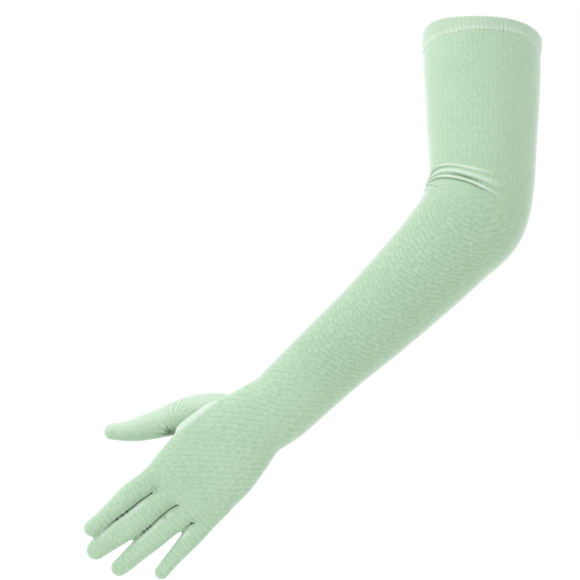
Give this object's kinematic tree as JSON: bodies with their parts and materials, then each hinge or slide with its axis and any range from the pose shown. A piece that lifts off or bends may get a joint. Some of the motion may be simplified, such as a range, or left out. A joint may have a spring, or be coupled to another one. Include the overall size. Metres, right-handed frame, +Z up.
{
  "type": "long tulle glove",
  "caption": "Over-elbow stretch-tulle glove for a left hand, shown filled and bent at the elbow, with an open gathered cuff, fingers and a set-in thumb.",
  "frame": {"origin": "the middle of the arm opening, at the top edge of the hem band", "axes": "+Z up, as the glove is held with its upper arm nearly upright; +Y towards the palm side, away from a viewer of the back of the hand; +X away from the fingers"},
  "size_m": [0.3702, 0.1208, 0.4517],
  "materials": {
    "tulle": "fine matte mint-green stretch tulle",
    "hem": "folded double tulle, gathered"
  },
  "bodies": {
    "root": {"hem_band": "hem", "upper_arm_back": "tulle", "upper_arm_palm": "tulle", "forearm_back": "tulle", "forearm_palm": "tulle", "hand_back": "tulle", "hand_palm": "tulle", "fingers_back": "tulle", "fingers_palm": "tulle", "thumb": "tulle"}
  },
  "joints": []
}
